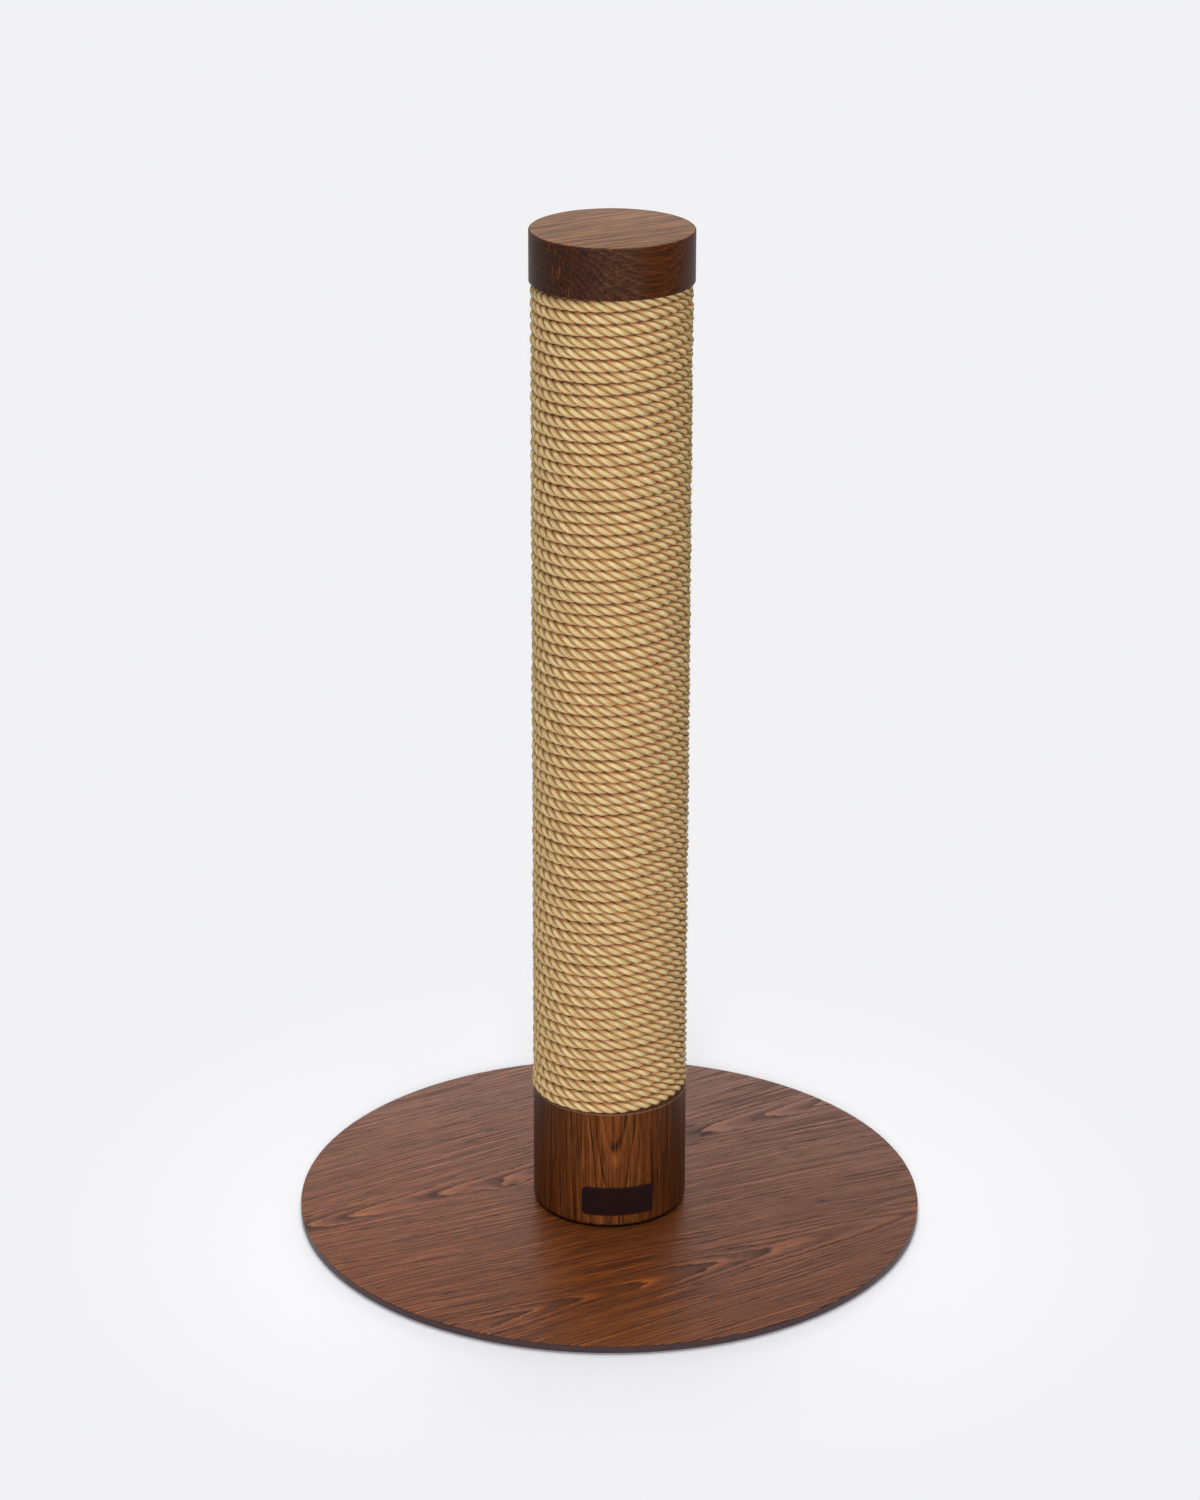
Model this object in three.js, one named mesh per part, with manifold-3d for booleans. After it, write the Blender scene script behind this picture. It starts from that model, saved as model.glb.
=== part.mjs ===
// A cat scratching post: a veneered round steel plate, a turned wood collar, a rope-wound
// tube and a turned wood cap, clamped by one rod and screwed to the plate from below.
// Millimetres, +Z up, origin on the floor under the middle of the post, badge towards -Y.

import * as THREE from 'three';
import { mergeVertices } from 'three/addons/utils/BufferGeometryUtils.js';
import Module from 'manifold-3d';

const wasm = await Module();
wasm.setup();

// ---- Driving dimensions -------------------------------------------------------------

// Clearances
const fitGap = 0.3; // round a curved piece in its hole
const glueLine = 0.05; // between the plate and what is stuck on it
const overcut = 1; // how far a cutter runs past the face that it opens

// Base
const plateRadius = 200;
const plateThickness = 4.5;
const plateEdgeChamfer = 0.5;
const veneerThickness = 0.7;
const veneerEdgeChamfer = 0.3;
const padCount = 6;
const padRadius = 14;
const padThickness = 1;
const padRimInset = 14; // from the plate's rim to the pad's edge

// Turned wood collar at the foot
const collarProud = 0.1; // past the rope's outside
const collarHeight = 80.5;
const collarFootRound = 5;
const collarTopChamfer = 1;
const collarSpigotHeight = 45;

// Turned wood cap
const capProud = 1.1; // past the rope's outside
const capHeight = 33.5;
const capTopRound = 2.5;
const capFootChamfer = 2;
const capSpigotHeight = 34;

// Spigots of collar and cap inside the tube
const spigotChamfer = 1;

// Tube that the rope is wound on
const tubeOuterRadius = 40.5;
const tubeWall = 9.5;
const tubeLength = 527.5;

// Rope, wound in one layer
const ropeDiameter = 7.2;
const ropeTurnGap = 0.5; // least gap between neighbouring turns
const ropeEndGap = 0.4; // between the end turns and the collar or cap
const ropeTailHeight = 3.2; // the ends are pressed flat between the next turn and the wood
const ropeStartAngle = THREE.MathUtils.degToRad(40); // lower end, right of the back
const ropeFinishAngle = THREE.MathUtils.degToRad(100); // upper end, at the back
const ropeSteepAngle = THREE.MathUtils.degToRad(-80); // where each turn climbs fastest
const ropeSway = 1.1; // rise and fall of each turn about an even climb
const ropeStepsPerTurn = 15;
const ropeSides = 4;

// Rod, nut and washer that clamp cap, tube and collar
const rodRadius = 4;
const rodBoreRadius = 4.6;
const rodEndChamfer = 0.8;
const rodInInsert = 17; // how far the rod reaches into the cap's insert
const rodBelowNut = 2.5; // length of rod that shows under the nut
const nutAcrossFlats = 13;
const nutHeight = 6.5;
const washerRadius = 12;
const washerThickness = 1.6;
const counterboreRadius = 13.5;
const counterboreSpare = 1.5; // between the rod's end and the veneer
const capInsertRadius = 6.5;
const capInsertLength = 20;

// Screws and inserts that hold the collar on the plate
const screwCount = 4;
const screwCircleRadius = 28;
const screwRadius = 3;
const screwHeadRadius = 6;
const screwHeadRecess = 0.2;
const screwTipChamfer = 0.6;
const screwGrip = 11; // length of screw inside its insert
const hexKeyFlats = 4;
const hexKeyDepth = 2;
const baseInsertRadius = 5;
const baseInsertLength = 13;
const baseInsertHoleSpare = 2; // depth of the hole beyond the insert

// Tacks that hold the rope's two ends
const tackHeadThickness = 0.8;
const tackShankRadius = 0.6;
const tackInTube = 7;
const tackPointLength = 2;

// Badge on the collar
const badgeArc = 46.4;
const badgeHeight = 19.5;
const badgeThickness = 1;
const badgeCornerRadius = 3;
const badgeCentreHeight = 19.2; // above the collar's foot
const badgeTurn = THREE.MathUtils.degToRad(6.2); // from the front, towards +X

// Facets round a circle
const fullTurn = 2 * Math.PI;
const rimSegments = 96;
const woodSegments = 60;
const tubeSegments = 48;
const holeSegments = 20;
const smallSegments = 16;
const tackHoleSegments = 8;
const roundSteps = 4;

// ---- Heights and radii that follow from the sizes -----------------------------------

const plateBottom = padThickness + glueLine;
const plateTop = plateBottom + plateThickness;
const veneerBottom = plateTop + glueLine;
const veneerTop = veneerBottom + veneerThickness;
const collarTop = veneerTop + collarHeight;
const capBottom = collarTop + tubeLength;
const boreRadius = tubeOuterRadius - tubeWall;
const spigotRadius = boreRadius - fitGap;

// The chords between the winding's steps still clear the tube.
const chordShrink = Math.cos(Math.PI / ropeStepsPerTurn);
const ropeRadius = ropeDiameter / 2;
const windingRadius = (tubeOuterRadius + fitGap) / chordShrink + ropeRadius;
const collarRadius = windingRadius + ropeRadius + collarProud;
const capRadius = windingRadius + ropeRadius + capProud;

// ---- Materials ----------------------------------------------------------------------

function finish(color, roughness, metalness) {
  return new THREE.MeshStandardMaterial({ color, roughness, metalness });
}

const finishes = {
  steel: () => finish(0x4b393b, 0.45, 0.3),
  veneer: () => finish(0x785446, 0.4, 0),
  wood: () => finish(0x6a4029, 0.4, 0),
  rope: () => finish(0xb4986f, 0.9, 0),
  card: () => finish(0xa98f6b, 0.95, 0),
  zinc: () => finish(0xb9bcc0, 0.35, 1),
  brass: () => finish(0xb08d48, 0.35, 1),
  badge: () => finish(0x231516, 0.55, 0),
  felt: () => finish(0x3a3634, 1, 0),
};

// ---- Solids -------------------------------------------------------------------------

// Merges shared vertices and leaves out the triangles that close up on an axis.
function toSolid(geometry) {
  const bare = geometry.clone();
  bare.deleteAttribute('normal');
  bare.deleteAttribute('uv');
  const merged = mergeVertices(bare, 1e-4);
  const index = merged.index.array;
  const triangles = [];
  for (let i = 0; i < index.length; i += 3) {
    const [a, b, c] = [index[i], index[i + 1], index[i + 2]];
    if (a !== b && b !== c && c !== a) triangles.push(a, b, c);
  }
  return new wasm.Manifold(new wasm.Mesh({
    numProp: 3,
    vertProperties: new Float32Array(merged.attributes.position.array),
    triVerts: new Uint32Array(triangles),
  }));
}

function toGeometry(solid) {
  const { vertProperties, triVerts } = solid.getMesh();
  const geometry = new THREE.BufferGeometry();
  geometry.setAttribute('position', new THREE.BufferAttribute(vertProperties, 3));
  geometry.setIndex(new THREE.BufferAttribute(triVerts, 1));
  geometry.computeVertexNormals();
  return geometry;
}

// A solid of revolution about Z from [radius, height] points, going up on the outside.
function turned(outline, segments) {
  const points = outline.map(([radius, height]) => new THREE.Vector2(radius, height));
  return toSolid(new THREE.LatheGeometry(points, segments).rotateX(Math.PI / 2));
}

function rod(radius, length, segments) {
  return turned([[0, 0], [radius, 0], [radius, length], [0, length]], segments);
}

function ring(outer, inner, length, segments) {
  return turned([[inner, 0], [outer, 0], [outer, length], [inner, length], [inner, 0]], segments);
}

function hexPrism(acrossFlats, length) {
  return rod(acrossFlats / 2 / Math.cos(Math.PI / 6), length, 6);
}

// Outline points of a quarter round from one angle to another, about [radius, height].
function quarterRound(centreRadius, centreHeight, round, fromAngle) {
  const points = [];
  for (let step = 0; step <= roundSteps; step += 1) {
    const angle = fromAngle + (step / roundSteps) * (Math.PI / 2);
    points.push([
      centreRadius + round * Math.cos(angle),
      centreHeight + round * Math.sin(angle),
    ]);
  }
  return points;
}

function spotsOnCircle(count, radius, firstAngle) {
  return Array.from({ length: count }, (_, i) => {
    const angle = firstAngle + (i / count) * fullTurn;
    return [radius * Math.cos(angle), radius * Math.sin(angle)];
  });
}

const screwSpots = spotsOnCircle(screwCount, screwCircleRadius, Math.PI / 4);

function cutAtSpots(solid, spots, cutter, height) {
  return spots.reduce((left, [x, y]) => left.subtract(cutter.translate([x, y, height])), solid);
}

// ---- Base ---------------------------------------------------------------------------

const screwHoleRadius = screwRadius + fitGap;

function disc(radius, thickness, chamfer) {
  return turned([
    [0, 0],
    [radius - chamfer, 0],
    [radius, chamfer],
    [radius, thickness - chamfer],
    [radius - chamfer, thickness],
    [0, thickness],
  ], rimSegments);
}

// A countersunk hole, mouth down at height 0.
function countersink(depth) {
  const mouth = screwHeadRadius + screwHeadRecess + fitGap;
  const coneDepth = mouth - screwHoleRadius;
  return turned([
    [0, -overcut],
    [mouth, -overcut],
    [mouth, 0],
    [screwHoleRadius, coneDepth],
    [screwHoleRadius, depth + overcut],
    [0, depth + overcut],
  ], holeSegments);
}

function basePlate() {
  const plate = disc(plateRadius, plateThickness, plateEdgeChamfer);
  return cutAtSpots(plate, screwSpots, countersink(plateThickness), 0);
}

function baseVeneer() {
  const veneer = disc(plateRadius, veneerThickness, veneerEdgeChamfer);
  const hole = rod(screwHoleRadius, veneerThickness + 2 * overcut, holeSegments);
  return cutAtSpots(veneer, screwSpots, hole, -overcut);
}

// ---- Collar and cap -----------------------------------------------------------------

const counterboreDepth = washerThickness + nutHeight + rodBelowNut + counterboreSpare;

function footCollar() {
  const footCentre = collarRadius - collarFootRound;
  const spigotTop = collarHeight + collarSpigotHeight;
  const body = turned([
    [0, 0],
    ...quarterRound(footCentre, collarFootRound, collarFootRound, -Math.PI / 2),
    [collarRadius, collarHeight - collarTopChamfer],
    [collarRadius - collarTopChamfer, collarHeight],
    [spigotRadius, collarHeight],
    [spigotRadius, spigotTop - spigotChamfer],
    [spigotRadius - spigotChamfer, spigotTop],
    [0, spigotTop],
  ], woodSegments);
  const bore = rod(rodBoreRadius, spigotTop + 2 * overcut, smallSegments);
  const counterbore = rod(counterboreRadius, counterboreDepth + overcut, holeSegments);
  const insertHoleDepth = baseInsertLength + baseInsertHoleSpare;
  const insertHole = rod(baseInsertRadius + fitGap, insertHoleDepth + overcut, smallSegments);
  const bored = [bore, counterbore].reduce(
    (left, cutter) => left.subtract(cutter.translate([0, 0, -overcut])),
    body,
  );
  return cutAtSpots(bored, screwSpots, insertHole, -overcut);
}

function topCap() {
  const crown = quarterRound(capRadius - capTopRound, capHeight - capTopRound, capTopRound, 0);
  const body = turned([
    [0, -capSpigotHeight],
    [spigotRadius - spigotChamfer, -capSpigotHeight],
    [spigotRadius, spigotChamfer - capSpigotHeight],
    [spigotRadius, 0],
    [capRadius - capFootChamfer, 0],
    [capRadius, capFootChamfer],
    ...crown,
    [0, capHeight],
  ], woodSegments);
  const socketDepth = capInsertLength + fitGap;
  const socket = rod(capInsertRadius + fitGap, socketDepth + overcut, smallSegments);
  return body.subtract(socket.translate([0, 0, -capSpigotHeight - overcut]));
}

// ---- Rope ---------------------------------------------------------------------------

const ropeHalfHeight = (ropeDiameter - ropeTurnGap) / 2;
const windingFloor = collarTop + ropeEndGap;
const windingCeiling = capBottom - ropeEndGap;
const firstMiddle = windingFloor + ropeTailHeight - ropeHalfHeight;
const lastMiddle = windingCeiling - ropeTailHeight + ropeHalfHeight;
const ropeTurns = Math.floor((lastMiddle - firstMiddle) / ropeDiameter)
  + (ropeFinishAngle - ropeStartAngle) / fullTurn;
const swayInAll = ropeSwayAt(ropeTurns) - ropeSwayAt(0);
const ropePitch = (lastMiddle - firstMiddle - swayInAll) / ropeTurns;

function ropeAngle(turn) {
  return ropeStartAngle + turn * fullTurn;
}

function ropeSwayAt(turn) {
  return ropeSway * Math.sin(ropeAngle(turn) - ropeSteepAngle);
}

// Lowest and highest point of the rope's section, which the collar and the cap press flat.
function ropeBand(turn) {
  const middle = firstMiddle + turn * ropePitch + ropeSwayAt(turn) - ropeSwayAt(0);
  const low = Math.max(middle - ropeHalfHeight, windingFloor);
  const high = Math.min(middle + ropeHalfHeight, windingCeiling);
  return { low, high };
}

// A section of the rope at a turn, moved straight on along the rope by a distance.
function ropeSection(turn, along) {
  const angle = ropeAngle(turn);
  const heading = new THREE.Vector3(-Math.sin(angle), Math.cos(angle), 0);
  const outward = new THREE.Vector3(Math.cos(angle), Math.sin(angle), 0);
  const { low, high } = ropeBand(turn + along / (fullTurn * windingRadius));
  const centre = outward.clone().multiplyScalar(windingRadius).addScaledVector(heading, along);
  centre.z = (low + high) / 2;
  return { centre, heading, outward, halfHeight: (high - low) / 2 };
}

function ropeRoute() {
  const steps = Math.round(ropeTurns * ropeStepsPerTurn);
  const route = [ropeSection(0, -ropeDiameter)];
  for (let step = 0; step <= steps; step += 1) {
    route.push(ropeSection((step / steps) * ropeTurns, 0));
  }
  route.push(ropeSection(ropeTurns, ropeDiameter));
  return route;
}

// One unbroken tube with a four-sided section, a corner outwards.
function ropeTube(route) {
  const positions = [];
  const index = [];
  const up = new THREE.Vector3(0, 0, 1);
  for (const { centre, outward, halfHeight } of route) {
    for (let side = 0; side < ropeSides; side += 1) {
      const angle = (side / ropeSides) * fullTurn;
      const corner = centre.clone()
        .addScaledVector(outward, ropeRadius * Math.cos(angle))
        .addScaledVector(up, halfHeight * Math.sin(angle));
      positions.push(corner.x, corner.y, corner.z);
    }
  }
  const corner = (ringNumber, side) => ringNumber * ropeSides + (side % ropeSides);
  for (let ringNumber = 0; ringNumber + 1 < route.length; ringNumber += 1) {
    for (let side = 0; side < ropeSides; side += 1) {
      const [a, b] = [corner(ringNumber, side), corner(ringNumber, side + 1)];
      const [c, d] = [corner(ringNumber + 1, side), corner(ringNumber + 1, side + 1)];
      index.push(a, c, b, b, c, d);
    }
  }
  const last = route.length - 1;
  for (let side = 1; side + 1 < ropeSides; side += 1) {
    index.push(corner(0, 0), corner(0, side), corner(0, side + 1));
    index.push(corner(last, 0), corner(last, side + 1), corner(last, side));
  }
  const geometry = new THREE.BufferGeometry();
  geometry.setAttribute('position', new THREE.Float32BufferAttribute(positions, 3));
  geometry.setIndex(index);
  return geometry;
}

// Least distance between the corners of one turn and those of the next ones.
function leastGapToItself(geometry) {
  const position = geometry.attributes.position;
  const ringCount = position.count / ropeSides;
  const here = new THREE.Vector3();
  const there = new THREE.Vector3();
  let least = Infinity;
  for (let i = 0; i < ringCount; i += 1) {
    const nearest = i + ropeStepsPerTurn - 2;
    for (let j = nearest; j < Math.min(nearest + 5, ringCount); j += 1) {
      for (let side = 0; side < ropeSides * ropeSides; side += 1) {
        here.fromBufferAttribute(position, i * ropeSides + (side % ropeSides));
        there.fromBufferAttribute(position, j * ropeSides + Math.floor(side / ropeSides));
        least = Math.min(least, here.distanceTo(there));
      }
    }
  }
  return least;
}

// ---- Tacks at the rope's ends -------------------------------------------------------

// Each tack goes through the middle of a straight rope end, level and square to it.
const tackPlaces = [
  { name: 'rope_tack_lower', turn: 0, along: -ropeRadius },
  { name: 'rope_tack_upper', turn: ropeTurns, along: ropeRadius },
];
const tackHeadInside = ropeRadius + fitGap; // head's underside, from the rope's centre line
const tackHeadRadius = ropeEndGap + ropeTailHeight / 2 - fitGap; // clear of collar and cap
const tackLength = windingRadius + tackHeadInside - tubeOuterRadius + tackInTube;

// Turns a solid made along +Z, head's underside at 0, to point inwards at a tack's place.
function atTack(solid, { turn, along }) {
  const { centre, heading, outward } = ropeSection(turn, along);
  const up = new THREE.Vector3(0, 0, 1);
  const matrix = new THREE.Matrix4().makeBasis(heading, up, outward);
  matrix.setPosition(centre.addScaledVector(outward, tackHeadInside));
  return toSolid(toGeometry(solid).applyMatrix4(matrix));
}

function tack() {
  return turned([
    [0, -tackLength],
    [tackShankRadius, tackPointLength - tackLength],
    [tackShankRadius, 0],
    [tackHeadRadius, 0],
    [tackHeadRadius, tackHeadThickness],
    [0, tackHeadThickness],
  ], smallSegments);
}

function tackHole() {
  const radius = tackShankRadius + fitGap;
  const length = tackLength + 2 * overcut;
  return rod(radius, length, tackHoleSegments).translate([0, 0, -tackLength - overcut]);
}

function cutForTacks(solid) {
  return tackPlaces.reduce((left, place) => left.subtract(atTack(tackHole(), place)), solid);
}

function ropeWinding() {
  const tube = ropeTube(ropeRoute());
  const gap = leastGapToItself(tube);
  console.log(`rope_winding: ${ropeTurns.toFixed(2)} turns, least gap to itself ${gap.toFixed(2)} mm`);
  return cutForTacks(toSolid(tube));
}

function coreTube() {
  const tube = ring(tubeOuterRadius, boreRadius, tubeLength, tubeSegments);
  return cutForTacks(tube.translate([0, 0, collarTop])).translate([0, 0, -collarTop]);
}

// ---- Hardware -----------------------------------------------------------------------

const nutTop = veneerTop + counterboreDepth - washerThickness;
const rodBottom = nutTop - nutHeight - rodBelowNut;
const rodTop = capBottom - capSpigotHeight + rodInInsert;
const insertBoreRadius = rodRadius + fitGap;

function tieRod() {
  const length = rodTop - rodBottom;
  return turned([
    [0, 0],
    [rodRadius - rodEndChamfer, 0],
    [rodRadius, rodEndChamfer],
    [rodRadius, length - rodEndChamfer],
    [rodRadius - rodEndChamfer, length],
    [0, length],
  ], holeSegments);
}

function rodNut() {
  const hole = rod(insertBoreRadius, nutHeight + 2 * overcut, holeSegments);
  return hexPrism(nutAcrossFlats, nutHeight).subtract(hole.translate([0, 0, -overcut]));
}

const screwHeadHeight = screwHeadRadius - screwRadius;
const screwHeadBottom = plateBottom + screwHeadRecess;
const screwLength = veneerTop - screwHeadBottom + screwGrip;

function baseScrew() {
  const body = turned([
    [0, 0],
    [screwHeadRadius, 0],
    [screwRadius, screwHeadHeight],
    [screwRadius, screwLength - screwTipChamfer],
    [screwRadius - screwTipChamfer, screwLength],
    [0, screwLength],
  ], holeSegments);
  const keyHole = hexPrism(hexKeyFlats, hexKeyDepth + overcut);
  return body.subtract(keyHole.translate([0, 0, -overcut]));
}

// ---- Badge --------------------------------------------------------------------------

function roundedRectangle(width, height, radius) {
  const [x, y] = [width / 2, height / 2];
  const shape = new THREE.Shape();
  shape.absarc(x - radius, y - radius, radius, 0, Math.PI / 2);
  shape.absarc(radius - x, y - radius, radius, Math.PI / 2, Math.PI);
  shape.absarc(radius - x, radius - y, radius, Math.PI, 1.5 * Math.PI);
  shape.absarc(x - radius, radius - y, radius, 1.5 * Math.PI, fullTurn);
  shape.closePath();
  return shape;
}

// A plate with round corners, bent round the collar, at the front before it is turned.
function nameBadge() {
  const inner = (collarRadius + fitGap) / Math.cos(Math.PI / rimSegments);
  const outer = inner + badgeThickness;
  const chord = 2 * outer * Math.sin(badgeArc / outer / 2);
  const shell = ring(outer, inner, badgeHeight, rimSegments);
  const outline = roundedRectangle(chord, badgeHeight, badgeCornerRadius);
  const block = new THREE.ExtrudeGeometry(outline, {
    depth: 2 * outer,
    bevelEnabled: false,
    curveSegments: roundSteps,
  }).rotateX(Math.PI / 2);
  return shell.translate([0, 0, -badgeHeight / 2]).intersect(toSolid(block));
}

// ---- Assembly -----------------------------------------------------------------------

const post = new THREE.Group();

function place(name, solid, material, [x, y, z], parent = post) {
  const mesh = new THREE.Mesh(toGeometry(solid), material);
  mesh.name = name;
  mesh.position.set(x, y, z);
  parent.add(mesh);
  return mesh;
}

function placeAll(name, solid, material, spots, height) {
  spots.forEach(([x, y], i) => place(`${name}_${i + 1}`, solid, material(), [x, y, height]));
}

const padSpots = spotsOnCircle(padCount, plateRadius - padRimInset - padRadius, Math.PI / 6);
const insertSleeve = ring(baseInsertRadius, screwHoleRadius, baseInsertLength, smallSegments);
const capInsert = ring(capInsertRadius, insertBoreRadius, capInsertLength, smallSegments);
const rodWasher = ring(washerRadius, rodBoreRadius, washerThickness, holeSegments);

placeAll('felt_pad', rod(padRadius, padThickness, holeSegments), finishes.felt, padSpots, 0);
place('base_plate', basePlate(), finishes.steel(), [0, 0, plateBottom]);
place('base_veneer', baseVeneer(), finishes.veneer(), [0, 0, veneerBottom]);
place('foot_collar', footCollar(), finishes.wood(), [0, 0, veneerTop]);
place('name_badge', nameBadge(), finishes.badge(), [0, 0, veneerTop + badgeCentreHeight])
  .rotation.z = badgeTurn;
place('core_tube', coreTube(), finishes.card(), [0, 0, collarTop]);
place('rope_winding', ropeWinding(), finishes.rope(), [0, 0, 0]);
place('top_cap', topCap(), finishes.wood(), [0, 0, capBottom]);
place('tie_rod', tieRod(), finishes.zinc(), [0, 0, rodBottom]);
place('rod_washer', rodWasher, finishes.zinc(), [0, 0, nutTop]);
place('rod_nut', rodNut(), finishes.zinc(), [0, 0, nutTop - nutHeight]);
place('cap_insert', capInsert, finishes.brass(), [0, 0, capBottom - capSpigotHeight]);
placeAll('base_insert', insertSleeve, finishes.brass, screwSpots, veneerTop);
placeAll('base_screw', baseScrew(), finishes.zinc, screwSpots, screwHeadBottom);
for (const tackPlace of tackPlaces) {
  place(tackPlace.name, atTack(tack(), tackPlace), finishes.zinc(), [0, 0, 0]);
}

export default post;
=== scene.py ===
"""The looks of the cat scratching post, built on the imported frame.

Metres, +Z up, origin on the floor under the post's axis, badge towards -Y.
Lengths that end in _MM, and all positions inside materials, are in millimetres.
"""

import math

import bpy
import numpy as np
from mathutils import Matrix, Vector


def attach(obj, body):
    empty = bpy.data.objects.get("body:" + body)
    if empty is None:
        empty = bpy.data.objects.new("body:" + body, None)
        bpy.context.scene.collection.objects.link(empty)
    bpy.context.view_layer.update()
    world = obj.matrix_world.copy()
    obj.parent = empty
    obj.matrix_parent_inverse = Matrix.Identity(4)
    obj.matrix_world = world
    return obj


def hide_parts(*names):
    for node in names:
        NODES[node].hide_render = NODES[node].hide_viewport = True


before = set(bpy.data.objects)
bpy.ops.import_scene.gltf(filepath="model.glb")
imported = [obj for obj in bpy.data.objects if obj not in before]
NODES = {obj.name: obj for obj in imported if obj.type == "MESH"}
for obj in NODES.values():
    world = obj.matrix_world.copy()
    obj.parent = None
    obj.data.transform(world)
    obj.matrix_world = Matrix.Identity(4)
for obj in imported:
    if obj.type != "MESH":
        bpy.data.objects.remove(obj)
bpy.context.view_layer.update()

MM = 0.001
SEED = 7

# ---- Sizes, as in the CAD -----------------------------------------------------------

PLATE_RADIUS_MM = 200.0
PLATE_BOTTOM_MM, PLATE_TOP_MM = 1.05, 5.55
VENEER_BOTTOM_MM, VENEER_TOP_MM = 5.60, 6.30
COLLAR_TOP_MM, CAP_BOTTOM_MM, TOP_MM = 86.8, 614.3, 647.8
TUBE_RADIUS_MM, SPIGOT_RADIUS_MM = 40.5, 30.7
COLLAR_SPIGOT_MM, CAP_SPIGOT_MM = 45, 34
ROD_HOLE_RADIUS_MM = 4.6
NUT_BORE_RADIUS_MM, NUT_BORE_DEPTH_MM = 13.5, 12.1
CAP_HOLE_RADIUS_MM, CAP_HOLE_TOP_MM = 6.8, CAP_BOTTOM_MM - 13.7
SCREW_CIRCLE_MM = 28
SCREW_HOLE_RADIUS_MM = 3.3
SINK_RADIUS_MM, SINK_DEPTH_MM = 6.5, 3.2
INSERT_HOLE_RADIUS_MM, INSERT_HOLE_DEPTH_MM = 5.3, 15
ROPE_DIAMETER_MM = 7.2
ROPE_BANDS_MM = 6.7  # the rope's height between its neighbours
ROPE_TAIL_MM = 3.2  # its height at both ends, where it is pressed flat
ROPE_GAP_MM = 0.4  # from the end turns to the collar or cap
ROPE_START, ROPE_FINISH = math.radians(40), math.radians(100)
ROPE_STEEP = math.radians(-80)  # where each turn climbs fastest
ROPE_SWAY_MM = 1.1  # rise and fall of each turn about an even climb
WINDING_RADIUS_MM = (TUBE_RADIUS_MM + 0.3) / math.cos(math.pi / 15) + ROPE_DIAMETER_MM / 2
COLLAR_RADIUS_MM = WINDING_RADIUS_MM + ROPE_DIAMETER_MM / 2 + 0.1
CAP_RADIUS_MM = WINDING_RADIUS_MM + ROPE_DIAMETER_MM / 2 + 1.1
SCREW_SPOTS_MM = [
    (
        SCREW_CIRCLE_MM * math.cos(math.pi / 4 + i * math.pi / 2),
        SCREW_CIRCLE_MM * math.sin(math.pi / 4 + i * math.pi / 2),
    )
    for i in range(4)
]

UP = (0, 0, 1)
TO_BADGE = (0, -1, 0)
GRAIN = math.radians(28.5)  # the veneer's and the cap's grain, from +X towards +Y
GRAIN_LINE = (math.cos(GRAIN), math.sin(GRAIN), 0)


# ---- Meshes -------------------------------------------------------------------------


def linked(name, data):
    """A new object with this data, in the scene."""
    thing = bpy.data.objects.new(name, data)
    bpy.context.scene.collection.objects.link(thing)
    return thing


def soften(mesh, degrees=30.0):
    """Shades a mesh smooth, apart from its edges that are sharper than an angle."""
    mesh.shade_smooth()
    mesh.set_sharp_from_angle(angle=math.radians(degrees))


def mesh_object(name, points_mm, faces, degrees=30.0):
    mesh = bpy.data.meshes.new(name)
    mesh.from_pydata([tuple(p) for p in np.asarray(points_mm) * MM], [], faces)
    mesh.validate()
    mesh.update()
    soften(mesh, degrees)
    return linked(name, mesh)


def cylinder(radius, low, high):
    """The outline of a plain cylinder, for lathe."""
    return [(0, low), (radius, low), (radius, high), (0, high)]


def rounded(outline, radii, steps):
    """An outline with some of its corners rounded: radii is {corner number: radius}."""
    points = []
    count = len(outline)
    for i, corner in enumerate(outline):
        radius = radii.get(i, 0)
        if not radius:
            points.append(corner)
            continue
        here = np.array(corner, float)
        before = np.array(outline[i - 1], float) - here
        after = np.array(outline[(i + 1) % count], float) - here
        before /= np.linalg.norm(before)
        after /= np.linalg.norm(after)
        half = math.acos(max(-1.0, min(1.0, float(before @ after)))) / 2
        cut = radius / math.tan(half)
        middle = (before + after) / np.linalg.norm(before + after)
        centre = here + middle * radius / math.sin(half)
        start, end = here + before * cut - centre, here + after * cut - centre
        sweep = math.acos(max(-1.0, min(1.0, float(start @ end) / radius**2)))
        for step in range(steps + 1):
            t = step / steps
            point = (
                math.sin((1 - t) * sweep) * start + math.sin(t * sweep) * end
            ) / math.sin(sweep)
            points.append(tuple(centre + point))
    return points


def lathe(name, outline_mm, segments, centre_mm=(0, 0), closed=True):
    """A turned piece about Z from [radius, height] points, going up on the outside."""
    ring_of = []
    points = []
    for radius, height in outline_mm:
        if radius < 1e-6:
            ring_of.append([len(points)] * segments)
            points.append((centre_mm[0], centre_mm[1], height))
            continue
        ring_of.append(list(range(len(points), len(points) + segments)))
        for i in range(segments):
            angle = 2 * math.pi * i / segments
            points.append(
                (
                    centre_mm[0] + radius * math.cos(angle),
                    centre_mm[1] + radius * math.sin(angle),
                    height,
                )
            )
    faces = []
    rows = len(outline_mm)
    for row in range(rows if closed else rows - 1):
        low, high = ring_of[row], ring_of[(row + 1) % rows]
        for i in range(segments):
            j = (i + 1) % segments
            face = [low[i], low[j], high[j], high[i]]
            face = [v for k, v in enumerate(face) if v != face[k - 1]]
            if len(face) > 2:
                faces.append(face)
    return mesh_object(name, points, faces)


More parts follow.
